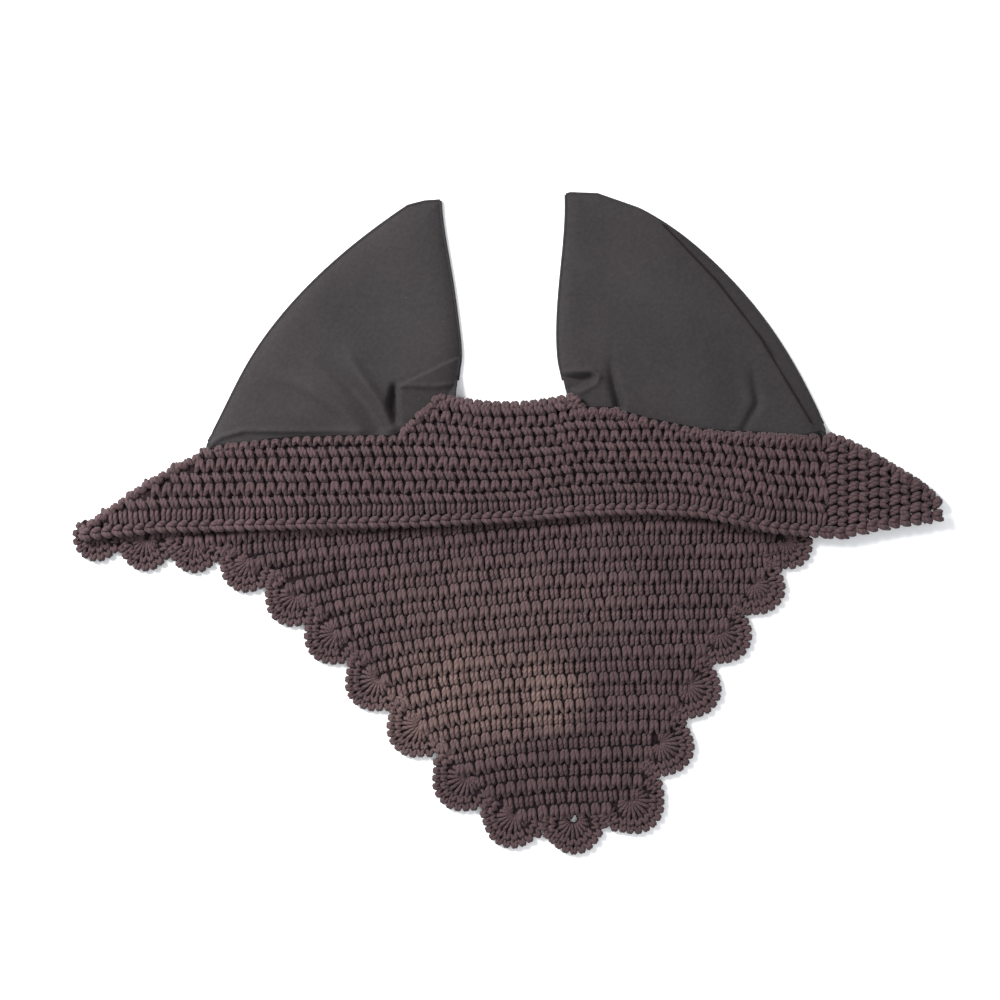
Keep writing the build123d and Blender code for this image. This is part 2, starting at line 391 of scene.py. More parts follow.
def pathTree():
    # sets one unit after another along the lines of a guide mesh
    tree, groupIn = openTree("followPath", {"Unit": "Object", "Pitch": "Float"})
    curve = addNode(tree, "GeometryNodeMeshToCurve", values={"Mesh": groupIn.outputs["Geometry"]})
    dots = addNode(tree, "GeometryNodeCurveToPoints", {"mode": "LENGTH"},
                   {"Curve": curve.outputs[0], "Length": groupIn.outputs["Pitch"]})
    aligned = addNode(tree, "FunctionNodeAlignRotationToVector", {"axis": "X"},
                      {"Vector": dots.outputs["Tangent"]})
    little = addNode(tree, "FunctionNodeEulerToRotation", values={"Euler": smallTurn(tree, groupIn)})
    both = addNode(tree, "FunctionNodeRotateRotation", {"rotation_space": "LOCAL"},
                   {"Rotation": aligned.outputs[0], "Rotate By": little.outputs[0]})
    source = addNode(tree, "GeometryNodeObjectInfo", values={"Object": groupIn.outputs["Unit"]})
    laid = addNode(tree, "GeometryNodeInstanceOnPoints", values={
        "Points": dots.outputs["Points"], "Instance": source.outputs["Geometry"],
        "Rotation": both.outputs[0]})
    return finishTree(tree, groupIn, laid)


layStitches = stitchTree()
followPath = pathTree()


def grownFrom(guide, tree, name, settings):
    # runs a tree on a guide object and keeps the result as a plain mesh
    modifier = guide.modifiers.new("grow", "NODES")
    modifier.node_group = tree
    for item in tree.interface.items_tree:
        if item.in_out == "INPUT" and item.name in settings:
            modifier[item.identifier] = settings[item.name]
    guide.update_tag()
    mesh = worked(guide)
    mesh.name = name
    bpy.data.objects.remove(guide)
    print("  ", name, len(mesh.polygons), "faces")
    return newObject(name, mesh)


def stitches(name, places, seed, turnSpread=0.13, sizeSpread=0.09):
    # places: (point, turn, size, kind)
    mesh = newMesh(name + "Points", [place[0] for place in places], [])
    for column, attribute in ((1, "turn"), (2, "size")):
        values = [v for place in places for v in place[column]]
        mesh.attributes.new(attribute, "FLOAT_VECTOR", "POINT").data.foreach_set("vector", values)
    kinds = [kindOf[place[3]] for place in places]
    mesh.attributes.new("kind", "INT", "POINT").data.foreach_set("value", kinds)
    return grownFrom(newObject(mesh.name, mesh), layStitches, name, {
        "Stitches": units, "Turn Spread": turnSpread, "Size Spread": sizeSpread, "Seed": seed,
        "Material": yarnPaint})


def alongLine(name, line, unit, pitch, material, seed, turnSpread=0.05):
    mesh = newMesh(name + "Line", line, [], [(i, i + 1) for i in range(len(line) - 1)])
    return grownFrom(newObject(mesh.name, mesh), followPath, name, {
        "Unit": unit, "Pitch": pitch, "Turn Spread": turnSpread, "Seed": seed, "Material": material})


# materials
yarnLook = {
    "dark": (0.0110, 0.0055, 0.0065, 1),
    "light": (0.074, 0.0422, 0.0458, 1),
    "faded": (0.172, 0.112, 0.097, 1),
    "fibre": 1100.0,        # scales of the noise: fine fibres, blotches, ragged edges of the bleaching
    "blotch": 60.0,
    "ragged": 90.0,
    "plyLength": 5.2,       # mm of yarn for one turn of the plies
    "plies": 2.0,
    # sun-bleached patches on the forehead flap: middle, half width, half height, strength
    "patches": [((-0.030, -0.098), 0.060, 0.045, 0.75), ((0.020, -0.097), 0.030, 0.030, 0.9),
                ((-0.010, -0.050), 0.110, 0.040, 0.25)],
    "bump": {"Strength": 0.7, "Distance": 0.6 * mm},
    "surface": {"Roughness": 0.78, "Specular IOR Level": 0.22, "Sheen Weight": 0.06, "Sheen Roughness": 0.5},
}
# colours far darker than the yarn's: painted shade for what shows between the stitches
groundShadeLook = {
    "dark": (0.006, 0.0035, 0.005, 1),
    "light": (0.021, 0.012, 0.014, 1),
    "bump": {"Strength": 0.5, "Distance": 0.4 * mm},
    "surface": {"Roughness": 0.95, "Specular IOR Level": 0.1},
}
clothLook = {
    "dark": (0.0130, 0.0116, 0.0124, 1),
    "light": (0.0385, 0.0342, 0.0358, 1),
    "drift": (1.06, 0.93, 0.94, 1),     # wide browner areas
    "lint": (0.3, 0.28, 0.26, 1),
    "thread": 0.55 * mm,                # one thread of the twill
    "bump": {"Strength": 0.35, "Distance": 0.3 * mm},
    "surface": {"Roughness": 0.82, "Specular IOR Level": 0.2, "Sheen Weight": 0.08, "Sheen Roughness": 0.4},
}
waveBand = 0.314    # a wave texture of scale 1 repeats after this many metres


def newMaterial(name):
    material = bpy.data.materials.new(name)
    material.use_nodes = True
    tree = material.node_tree
    tree.nodes.clear()
    shader = tree.nodes.new("ShaderNodeBsdfPrincipled")
    tree.links.new(shader.outputs[0], tree.nodes.new("ShaderNodeOutputMaterial").inputs[0])
    return material, tree, shader


def objectPlace(tree):
    return tree.nodes.new("ShaderNodeTexCoord").outputs["Object"]


def noiseNode(tree, place, scale, detail):
    values = {"Vector": place, "Scale": scale, "Detail": detail}
    return addNode(tree, "ShaderNodeTexNoise", values=values).outputs[0]


def mixColour(tree, factor, a, b, blendType="MIX"):
    # inputs 6 and 7 and output 2 are the colour ones
    settings = {"data_type": "RGBA", "blend_type": blendType}
    return addNode(tree, "ShaderNodeMix", settings, {0: factor, 6: a, 7: b}).outputs[2]


def ownColour(tree, tone, look):
    # dark to light by tone
    return mixColour(tree, tone, look["dark"], look["light"])


def weighted(tree, *parts):
    # the sum of some values, each times its weight
    total = None
    for value, weight in parts:
        part = mathNode(tree, "MULTIPLY", value, weight)
        total = part if total is None else mathNode(tree, "ADD", total, part)
    return total


def finishLook(tree, shader, colour, height, look):
    tree.links.new(colour, shader.inputs["Base Color"])
    bump = addNode(tree, "ShaderNodeBump", values={**look["bump"], "Height": height})
    tree.links.new(bump.outputs[0], shader.inputs["Normal"])
    for name, value in look["surface"].items():
        shader.inputs[name].default_value = value


def fadedPatches(tree, place):
    spots = addNode(tree, "ShaderNodeSeparateXYZ", values={0: place})
    total = None
    for (cx, cy), rx, ry, strength in yarnLook["patches"]:
        dx = mathNode(tree, "DIVIDE", mathNode(tree, "SUBTRACT", spots.outputs[0], cx), rx)
        dy = mathNode(tree, "DIVIDE", mathNode(tree, "SUBTRACT", spots.outputs[1], cy), ry)
        far = weighted(tree, (dx, dx), (dy, dy))
        spot = mathNode(tree, "MULTIPLY", mathNode(tree, "SUBTRACT", 1.0, far, clamp=True), strength)
        total = spot if total is None else mathNode(tree, "MAXIMUM", total, spot)
    return total


def yarnMaterial():
    material, tree, shader = newMaterial("brownCottonYarn")
    uv = addNode(tree, "ShaderNodeUVMap", {"uv_map": "ply"})
    split = addNode(tree, "ShaderNodeSeparateXYZ", values={0: uv.outputs[0]})
    place = objectPlace(tree)
    turns = 2 * math.pi * yarnLook["plies"]
    wave = mathNode(tree, "SINE", weighted(tree, (split.outputs[0], turns),
                                           (split.outputs[1], turns / yarnLook["plyLength"])))
    ply = mathNode(tree, "POWER", mathNode(tree, "MULTIPLY_ADD", wave, 0.5, 0.5), 0.6)
    fibre = noiseNode(tree, place, yarnLook["fibre"], 3.0)
    blotch = noiseNode(tree, place, yarnLook["blotch"], 3.0)
    tint = addNode(tree, "ShaderNodeAttribute", {"attribute_name": "tint"}).outputs["Fac"]
    tone = weighted(tree, (ply, 0.38), (fibre, 0.75), (tint, 0.25), (blotch, 0.25))
    colour = ownColour(tree, mathNode(tree, "SUBTRACT", tone, 0.2, clamp=True), yarnLook)
    ragged = mathNode(tree, "MULTIPLY", noiseNode(tree, place, yarnLook["ragged"], 4.0), 1.7)
    faded = mathNode(tree, "MULTIPLY", fadedPatches(tree, place), ragged, clamp=True)
    faded = mathNode(tree, "MULTIPLY", faded, mathNode(tree, "MULTIPLY_ADD", ply, 0.5, 0.4))
    colour = mixColour(tree, faded, colour, yarnLook["faded"])
    finishLook(tree, shader, colour, weighted(tree, (ply, 0.5), (fibre, 0.45)), yarnLook)
    return material


def groundShadeMaterial():
    material, tree, shader = newMaterial("yarnInTheGaps")
    # the strands behind the stitches, darkened as painted shade
    fibre = noiseNode(tree, objectPlace(tree), 900.0, 3.0)
    finishLook(tree, shader, ownColour(tree, fibre, groundShadeLook), fibre, groundShadeLook)
    return material


def clothMaterial():
    material, tree, shader = newMaterial("greyBrownTwill")
    place = objectPlace(tree)
    weave = []
    for angle in (0.9, -0.7):
        turn = addNode(tree, "ShaderNodeMapping", values={"Vector": place, "Rotation": (0, 0, angle)})
        weave.append(addNode(tree, "ShaderNodeTexWave", {"wave_type": "BANDS", "bands_direction": "X"}, {
            "Vector": turn.outputs[0], "Scale": waveBand / clothLook["thread"], "Distortion": 0.6,
            "Detail": 1.0, "Detail Scale": 3.0}).outputs["Fac"])
    threads = mathNode(tree, "MULTIPLY", *weave)
    slub = noiseNode(tree, place, 480.0, 2.0)
    dots = addNode(tree, "ShaderNodeTexVoronoi", {"feature": "F1"}, {"Vector": place, "Scale": 95.0})
    lint = mathNode(tree, "LESS_THAN", dots.outputs["Distance"], 0.012)
    tone = weighted(tree, (noiseNode(tree, place, 22.0, 4.0), 0.75), (threads, 0.45), (slub, 0.6))
    colour = ownColour(tree, mathNode(tree, "SUBTRACT", tone, 0.42, clamp=True), clothLook)
    drift = mathNode(tree, "SUBTRACT", noiseNode(tree, place, 13.0, 2.0), 0.38, clamp=True)
    drift = mathNode(tree, "MULTIPLY", mathNode(tree, "MULTIPLY", drift, 2.6, clamp=True), 0.7)
    colour = mixColour(tree, drift, colour, clothLook["drift"], "MULTIPLY")
    colour = mixColour(tree, mathNode(tree, "MULTIPLY", lint, 0.5), colour, clothLook["lint"])
    finishLook(tree, shader, colour, weighted(tree, (threads, 1.0), (slub, 0.5)), clothLook)
    return material


yarnPaint = yarnMaterial()
groundShadePaint = groundShadeMaterial()
clothPaint = clothMaterial()
print("materials made")


# the crochet layers
leftFold = jointNamed("left_wing_crease")["pos_m"][0]
rightFold = jointNamed("right_wing_crease")["pos_m"][0]
flapFold = jointNamed("forehead_crease")["pos_m"][1]
frontTree = cadTree("crown_panel", "forehead_flap", "left_wing_front", "right_wing_front")
backTree = cadTree("poll_band", "left_wing_back", "right_wing_back")
cordTree = cadTree("left_wing_edge_cord", "band_edge_cord", "right_wing_edge_cord")
cordLow = edgeOf(cordTree, -0.03, 0.06)
cordHigh = edgeOf(cordTree, 0.06, -0.03)
bandTop = edgeOf(backTree, 0.12, -0.03)
pollLow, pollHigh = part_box("poll_fold")
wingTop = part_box("left_wing_back")[1].z

poll = {
    "dip": 5.2 * mm,        # the fold sags a little between the ears
    "rise": 3.0 * mm,
}


def pollLine(x):
    # outermost line of the poll fold
    middle, half = (pollLow.x + pollHigh.x) / 2, (pollHigh.x - pollLow.x) / 2
    t = min(abs(x - middle) / half, 1.0)
    return pollHigh.y + poll["rise"] - poll["dip"] * (1 - t * t)


band = {
    "rows": 10,
    "drop": 4.0 * mm,       # how far the open edge sinks back onto the front layer
    "room": 4.3 * mm,       # it sinks less where the layer arches up less than this
    "reach": 34.0 * mm,     # how far up the band that sinking reaches
    "liftAt": 132.0 * mm,   # the edge stands open here
    "liftHalf": 30.0 * mm,
    "ripple": 0.5 * mm,
    "foldClear": 4.6 * mm,  # the last row ends this far below the poll line
    "topClear": 2.4 * mm,   # and this far below the band's own top, except under the poll fold
    "underFold": 8 * mm,
    "seamIn": 2.6 * mm,     # the stitches along an ear opening lie this far below it
}


def bandHeight(x, y):
    # middle of the back layer
    tops = (topOf(backTree, x, y + aside) for aside in (0, 4 * mm, 7 * mm, -4 * mm))
    top = next((z for z in tops if z is not None), wingTop)
    middle = top - yarn["layer"] / 2
    lift = math.exp(-((x - band["liftAt"]) / band["liftHalf"]) ** 2)
    near = 1 - smoothStep(0, band["reach"], y - np.interp(x, *cordLow))
    room = max(top - wingTop, 0) / band["room"]
    middle -= band["drop"] * near * (1 - lift) * min(room, 1)
    return middle + band["ripple"] * room * softNoise(x, y, 38 * mm)


front = {
    "from": -0.190,         # the rows' first and last level
    "to": 0.075,
    "rowHeight": 7.2 * mm,
    "tilt": 0.086,          # the rows climb a little to the right
    "level": 0.75,          # and less so further right, per metre, between these two places
    "levelFrom": -0.02,
    "levelTo": 0.085,
    "flatTip": (-0.172, -0.120),    # they lie level at the flap's point, and climb fully from here on
    "edgeBend": 5.0 * mm,   # and droop towards the left margin, below the band
    "edgeReach": 24.0 * mm,
    "droopFrom": (-0.010, -0.045),
    "ripple": 0.7 * mm,
}


def leftMargin(y):
    return next((x for x in np.arange(-0.25, 0.0, 0.002) if topOf(frontTree, x, y) is not None), 0.0)


marginYs = list(np.arange(-0.17, 0.06, 0.005))
marginXs = [leftMargin(y) for y in marginYs]


def rowBend(x, y):
    at = min(max(x, front["levelFrom"]), front["levelTo"])
    tilt, level = front["tilt"], front["level"]
    climb = tilt * at - level / 2 * at * at + (tilt - level * at) * (x - at)
    inset = x - np.interp(y, marginYs, marginXs)
    droop = front["edgeBend"] * math.exp(-max(inset, 0) / front["edgeReach"]) if y < -0.015 else 0.0
    return climb * smoothStep(*front["flatTip"], y) - droop * smoothStep(*front["droopFrom"], y)


def frontHeight(x, y):
    ripple = 0.5 + 0.5 * softNoise(x, y, 45 * mm, 3.1)
    return yarn["layer"] / 2 + 0.15 * mm + front["ripple"] * ripple


def tiltedTurn(height, x, y, angle):
    # turn that lays a stitch on a surface with its row running at an angle
    step = 2 * mm
    slopeX = (height(x + step, y) - height(x - step, y)) / (2 * step)
    slopeY = (height(x, y + step) - height(x, y - step)) / (2 * step)
    normal = Vector((-slopeX, -slopeY, 1)).normalized()
    along = polar(angle).to_3d()
    along = (along - normal * along.dot(normal)).normalized()
    return tuple(Matrix((along, normal.cross(along), normal)).transposed().to_euler())


def eased(x, y, amount=0.75 * mm):
    # hand work never runs quite even
    return x + amount * softNoise(x, y, 17 * mm, 8.0), y + amount * softNoise(x, y, 17 * mm, 9.0)


def bandRow(share):
    def rowY(x):
        low = np.interp(x, *cordHigh) + 0.2 * mm
        return low + share * (pollLine(x) - band["foldClear"] - low)
    return rowY


def bandPlaces(low, high):
    # row after row from the cord up to the poll, the rows alternately from the right and the wrong side
    places = []
    share = 0.0
    for row in range(band["rows"]):
        part = (0.9 if row % 2 else 1.1) / band["rows"]
        rowY = bandRow(share + part / 2)
        share += part
        kind = "bars" if row == 0 else "lean" if row % 2 else "arch"
        x = cadBox[0][0] + (0.13 * (row // 2) % 1) * yarn["pitch"]
        while x < high:
            y = rowY(x)
            top = np.interp(x, *bandTop)
            underFold = pollLow.x + 1 * mm < x < pollHigh.x - 1 * mm and y > top - band["underFold"]
            clear = y + band["topClear"] < top and covers(backTree, x, y)
            if x > low and (clear or underFold):
                angle = math.atan2(rowY(x + 3 * mm) - rowY(x - 3 * mm), 6 * mm)
                tall = part * (pollLine(x) - 4.8 * mm - np.interp(x, *cordHigh)) / (6.0 * mm)
                turn = tiltedTurn(bandHeight, x, y, angle)
                places.append(((*eased(x, y), bandHeight(x, y)), turn, (1, tall, 1), kind))
            x += yarn["pitch"]
    return places


def seamEdgePlaces(low, high):
    # the stitches worked along an ear opening, following its curve
    places = []
    x = low
    while x < high:
        slope = (np.interp(x + 3 * mm, *bandTop) - np.interp(x - 3 * mm, *bandTop)) / (6 * mm)
        angle = math.atan(slope)
        away = Vector((math.sin(angle), -math.cos(angle))) * band["seamIn"]
        spot = Vector((x, np.interp(x, *bandTop))) + away
        z = bandHeight(*spot) + 0.3 * mm
        places.append(((*spot, z), tiltedTurn(bandHeight, *spot, angle), (1, 0.85, 1), "arch"))
        x += yarn["pitch"] * math.cos(angle)
    return places


# the stitches at each end of the poll fold, turned towards the ear: inwards, down, turn
pollEnds = ((-0.6 * mm, 5.6 * mm, 48), (-3.6 * mm, 9.6 * mm, 48), (1.5 * mm, 9.0 * mm, 20))


def pollEndPlaces():
    places = []
    for x, side in ((pollLow.x, 1), (pollHigh.x, -1)):
        for dx, dy, angle in pollEnds:
            z = bandHeight(x + side * 3 * mm, pollLine(x) - 14 * mm) - 0.4 * mm
            places.append(((x + side * dx, pollLine(x) - dy, z), (0, 0, side * math.radians(angle)),
                           (0.95, 0.9, 1), "arch"))
    return places


rightWing = {"start": 3.2 * mm, "columnWidth": 6.0 * mm, "tipClear": 3 * mm, "top": 0.06, "lean": 0.06}


def rightWingPlaces(tree, height):
    # the right wing is worked crosswise: its rows run up and down
    places = []
    column = 0
    x = rightFold + rightWing["start"]
    while x < cadBox[1][0] - rightWing["tipClear"]:
        y = np.interp(x, *cordLow) + (1.6 * mm if column % 2 else 4.2 * mm)
        while y < rightWing["top"]:
            if covers(tree, x, y) or covers(tree, x, y + 3.6 * mm):
                turn = tiltedTurn(height, x, y, math.pi / 2 - rightWing["lean"])
                places.append(((x, y, height(x, y)), turn, (1, 1, 1), "arch" if column % 2 else "lean"))
            y += yarn["pitch"]
        x += rightWing["columnWidth"]
        column += 1
    return places


def frontPlaces(keep):
    places = []
    level = front["from"]
    row = 0
    while level < front["to"]:
        tall = front["rowHeight"] * (1.1 if row % 2 else 0.9)
        level += tall / 2
        x = cadBox[0][0] + (0.21 * (row // 2) + 0.5 * (row % 2)) % 1 * yarn["pitch"]
        while x < cadBox[1][0]:
            y = level
            for _ in range(4):
                y = level + rowBend(x, y)
            angle = math.atan2(level + rowBend(x + 3 * mm, y) - y, 3 * mm)
            if keep(x, y) and covers(frontTree, x, y, 1.6 * mm) and not nearHole(x, y):
                turn = tiltedTurn(frontHeight, x, y, angle)
                places.append(((*eased(x, y), frontHeight(x, y)), turn, (0.98, tall / (6.2 * mm), 1.0),
                               "blob" if row % 2 else "bars"))
            x += yarn["pitch"] * math.cos(angle)
        level += tall / 2
        row += 1
    return places


# the shells of the edging, and the little hole each fan starts from; the one at the flap's point is open
shellInset = 4.5 * mm
openShell = 10
shells = []
shellNames = sorted(n for n in frame["nodes"] if n.startswith("shell_"))
shellCircles = [circleOf(n) for n in shellNames]
for number, (cx, cy, radius) in enumerate(shellCircles):
    before = Vector(shellCircles[max(number - 1, 0)][:2])
    after = Vector(shellCircles[min(number + 1, len(shellCircles) - 1)][:2])
    way = (after - before).normalized()
    outward = Vector((way.y, -way.x))
    centre = Vector((cx, cy))
    shells.append({"name": shellNames[number], "centre": centre, "radius": radius, "outward": outward,
                   "heading": math.atan2(outward.y, outward.x), "hole": centre - outward * shellInset,
                   "eye": 3.0 * mm if number == openShell else 1.1 * mm,
                   "before": number > 0, "after": number < len(shellCircles) - 1})


def nearHole(x, y):
    return any((Vector((x, y)) - s["hole"]).length < s["eye"] + 1.2 * mm for s in shells)


ground = {"cell": 3.0 * mm, "thick": 0.4 * mm, "below": 0.85 * mm, "holeClear": 4.2 * mm}


def groundSheet(name, tree, height, keep):
    # the closed inner face of a layer: strands behind, coloured dark as painted shade between the stitches
    corners, faces = {}, []
    cell = ground["cell"]
    nx, ny = (int((high - low) / cell) + 1 for low, high in list(zip(*cadBox))[:2])
    for i in range(nx):
        for j in range(ny):
            x, y = cadBox[0][0] + (i + 0.5) * cell, cadBox[0][1] + (j + 0.5) * cell
            if not keep(x, y) or not inside(tree, x, y):
                continue
            if tree is backTree and y > np.interp(x, *bandTop) - 2.6 * mm and y < pollLine(x) - 8 * mm:
                continue
            if (Vector((x, y)) - shells[openShell]["hole"]).length < ground["holeClear"]:
                continue
            faces.append([corners.setdefault(c, len(corners)) for c in
                          ((i, j), (i + 1, j), (i + 1, j + 1), (i, j + 1))])
    points = []
    for i, j in corners:
        x, y = cadBox[0][0] + i * cell, cadBox[0][1] + j * cell
        points.append((x, y, height(x, y) - ground["below"] + ground["thick"] / 2))
    obj = newObject(name, newMesh(name, points, faces, paints=[groundShadePaint]))
    thicken(obj, ground["thick"])
    return obj, len(faces) * cell * cell


def thicken(obj, thickness):
    modifier = obj.modifiers.new("thick", "SOLIDIFY")
    modifier.thickness = thickness
    modifier.offset = -1
    mesh = worked(obj)
    obj.modifiers.remove(modifier)
    mesh.name = obj.data.name
    obj.data = mesh
    mesh.polygons.foreach_set("use_smooth", [True] * len(mesh.polygons))


def declareSheet(obj, area):
    low, high = obj.bound_box[0], obj.bound_box[6]
    width, length = high[0] - low[0], high[1] - low[1]
    area = min(area, width * length)


leftEnd = leftFold + 9 * mm
rightEnd = rightFold - 6 * mm
flapTop = flapFold + 10 * mm


def leftOf(x, y):
    return x < leftEnd


def rightOf(x, y):
    return x > rightEnd


def middleSide(x, y):
    return not leftOf(x, y) and not rightOf(x, y)


def flapSide(x, y):
    return middleSide(x, y) and y < flapTop


def crownSide(x, y):
    return middleSide(x, y) and not flapSide(x, y)


def bendTo(obj, body):
    if body == "left_wing":
        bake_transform(obj)
    elif body == "right_wing":
        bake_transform(obj)
    elif body == "forehead_flap":
        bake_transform(obj)
    else:
        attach(obj, body)


def crochetLayer(node, keep, places, body, rests, seed):
    name = node + "_crochet"
    tree, height = (frontTree, frontHeight) if rests == "floor" else (backTree, bandHeight)
    work = stitches(name, places, seed)
    sheet, area = groundSheet(name + "_ground", tree, height, keep)
    for piece in (work, sheet):
        bendTo(piece, body)
    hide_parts(node)
    declareSheet(sheet, area)


print("laying stitches")
crochetLayer("crown_panel", crownSide, frontPlaces(crownSide), "cap", "floor", 3)
crochetLayer("forehead_flap", flapSide, frontPlaces(flapSide), "forehead_flap", "floor", 4)
crochetLayer("left_wing_front", leftOf, frontPlaces(leftOf), "left_wing", "floor", 5)
crochetLayer("right_wing_front", rightOf, frontPlaces(lambda x, y: rightOf(x, y) and x < rightFold)
             + rightWingPlaces(frontTree, frontHeight), "right_wing", "floor", 6)
crochetLayer("poll_band", middleSide, bandPlaces(leftEnd, rightEnd)
             + seamEdgePlaces(leftEnd, pollLow.x - 4 * mm) + pollEndPlaces()
             + seamEdgePlaces(pollHigh.x + 4 * mm, rightEnd), "cap", "crown_panel_crochet", 7)
crochetLayer("left_wing_back", leftOf, bandPlaces(cadBox[0][0], leftEnd)
             + seamEdgePlaces(leftFold, leftEnd), "left_wing", "left_wing_front_crochet", 8)
crochetLayer("right_wing_back", rightOf, bandPlaces(rightEnd, rightFold)
             + rightWingPlaces(backTree, bandHeight), "right_wing", "right_wing_front_crochet", 9)


# the poll fold, the wing folds and the edge cord
foldPitch = 5.3 * mm
linkPitch = 5.9 * mm
wrapThick = 1.45
pollShape = (4.3, 3.4, 2.4)     # half height, reach outwards, tail inwards, in mm
wingShape = (2.4, 2.5, 2.2)


def wrapUnit(name, reach, out, tail):
    # a stitch that goes over a fold and back under it
    path = [(-2.4, -tail, reach - 2.4), (-2.1, -tail * 0.5, reach - 0.9),
            (-1.2, 0.1 * out, 0.85 * reach), (-0.9, 0.7 * out, 0.5 * reach),
            (-0.8, 0.88 * out, -0.1 * reach), (-0.9, 0.7 * out, -0.65 * reach),
            (-1.5, 0, -reach), (-1.9, -tail, -reach + 0.5)]
    widths = [wrapThick * share for share in (0.6, 0.85, 1.15, 1.2, 1.2, 1.1, 1, 0.8)]
    return bpy.data.objects.new(name, yarnMesh(name, pairOf(path, widths, 9)))


def foldedEdge(node, line, shape, body, seed):
    name = node + "_crochet"
    unit = wrapUnit(name + "Unit", *shape)
    made = alongLine(name, line, unit, foldPitch, yarnPaint, seed, 0.12)
    bpy.data.objects.remove(unit)
    bendTo(made, body)
    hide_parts(node)


def foldInset(shape):
    return (shape[1] + 1.3) * mm


def pollFoldLine():
    middle = (pollLow.z + pollHigh.z) / 2
    xs = np.arange(pollLow.x + 1.5 * mm, pollHigh.x + 0.5 * mm, 3 * mm)
    return [(x, pollLine(x) - foldInset(pollShape), middle) for x in xs]


def wingFoldLine(node):
    # middle of the doubled edge, a little inside its outermost line
    line = []
    inset = foldInset(wingShape)
    xs, ys = edgeOf(cadTree(node), 0.07, -0.02)
    for x in np.arange(xs[0] + 3 * mm, xs[-1] - 1.5 * mm, 3 * mm):
        slope = (np.interp(x + 2 * mm, xs, ys) - np.interp(x - 2 * mm, xs, ys)) / (4 * mm)
        normal = Vector((slope, -1)).normalized()
        line.append((x + normal.x * inset, np.interp(x, xs, ys) + normal.y * inset, wingTop / 2))
    return line


def cordLine(low, high):
    line = []
    for x in np.arange(low, high, 3 * mm):
        y = (np.interp(x, *cordLow) + np.interp(x, *cordHigh)) / 2
        line.append((x, y - 0.3 * mm, bandHeight(x, y) + 1.0 * mm))
    return line


foldedEdge("poll_fold", pollFoldLine(), pollShape, "cap", 11)
for side, seed in (("left", 12), ("right", 13)):
    foldedEdge(f"{side}_wing_fold", wingFoldLine(f"{side}_wing_fold"), wingShape, f"{side}_wing", seed)
for node, low, high, body, seed in (
        ("left_wing_edge_cord", cordLow[0][0] + 4 * mm, leftFold, "left_wing", 14),
        ("band_edge_cord", leftFold, rightFold, "cap", 15),
        ("right_wing_edge_cord", rightFold, cordLow[0][-1] - 4 * mm, "right_wing", 16)):
    link = units.objects[kindOf["link"]]
    cord = alongLine(node + "_crochet", cordLine(low, high), link, linkPitch, yarnPaint, seed, 0.09)
    bendTo(cord, body)
    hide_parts(node)
print("edges worked")


# the shell edging
fan = {
    "posts": 14,
    "postEnd": 8.6 * mm,            # the posts end this far inside the edge
    "postLength": 9.6 * mm,         # as the post stitch is drawn
    "sweep": math.radians(112),     # each way from straight out
    "flank": math.radians(52),      # beyond this the edge runs straight into the next shell
    "flankMost": math.radians(34),
    # the two rings of knobs: inset from the edge, pitch, size
    "rings": ((7.1 * mm, 4.4 * mm, (0.78, 0.76, 0.8)), (3.0 * mm, 4.5 * mm, (0.8, 0.78, 0.9))),
    "groundFrom": math.radians(142),    # the ground's inner side starts here
    "groundThick": 0.7 * mm,
}


def rimDistance(shell, angle):
    # from the fan's hole to the shell's edge
    aside = shellInset * math.sin(angle)
    return shellInset * math.cos(angle) + math.sqrt(shell["radius"] ** 2 - aside ** 2)


def edgeDistanceAt(shell, angle):
    # from the shell's centre to its edge: round, with straight flanks that run into the next shell
    beside = shell["after"] if angle > 0 else shell["before"]
    flank = min(max(abs(angle) - fan["flank"], 0), fan["flankMost"]) if beside else 0
    return shell["radius"] / math.cos(flank)


def ownSide(shell, spot, give=0.02):
    # whether a spot is this shell's rather than the next one's
    def share(one):
        return (spot - one["centre"]).length / one["radius"]
    return all(other is shell or share(other) > share(shell) - give for other in shells)


def spotAt(shell, angle, far):
    return shell["centre"] + polar(shell["heading"] + angle) * far


def shellPlaces(shell):
    places = []
    z = frontHeight(*shell["centre"])
    for i in range(fan["posts"]):
        angle = -fan["sweep"] + 2 * fan["sweep"] * i / (fan["posts"] - 1)
        facing = shell["heading"] + angle
        inner, outer = shell["eye"] + 0.4 * mm, rimDistance(shell, angle) - fan["postEnd"]
        spot = shell["hole"] + polar(facing) * (inner + outer) / 2
        places.append(((*spot, z - 0.3 * mm), (0, 0, facing - math.pi / 2),
                       (1.0, (outer - inner) / fan["postLength"], 1.0), "post"))
    for inset, pitch, size in fan["rings"]:
        angle = -fan["sweep"]
        while angle < fan["sweep"]:
            far = edgeDistanceAt(shell, angle) - inset
            spot, ahead = (spotAt(shell, a, edgeDistanceAt(shell, a) - inset) for a in (angle, angle + 0.1))
            facing = math.atan2(ahead.y - spot.y, ahead.x - spot.x) + math.pi
            if ownSide(shell, spot):
                places.append(((*spot, z), (0, 0, facing), size, "knob"))
            angle += pitch / far
    return places


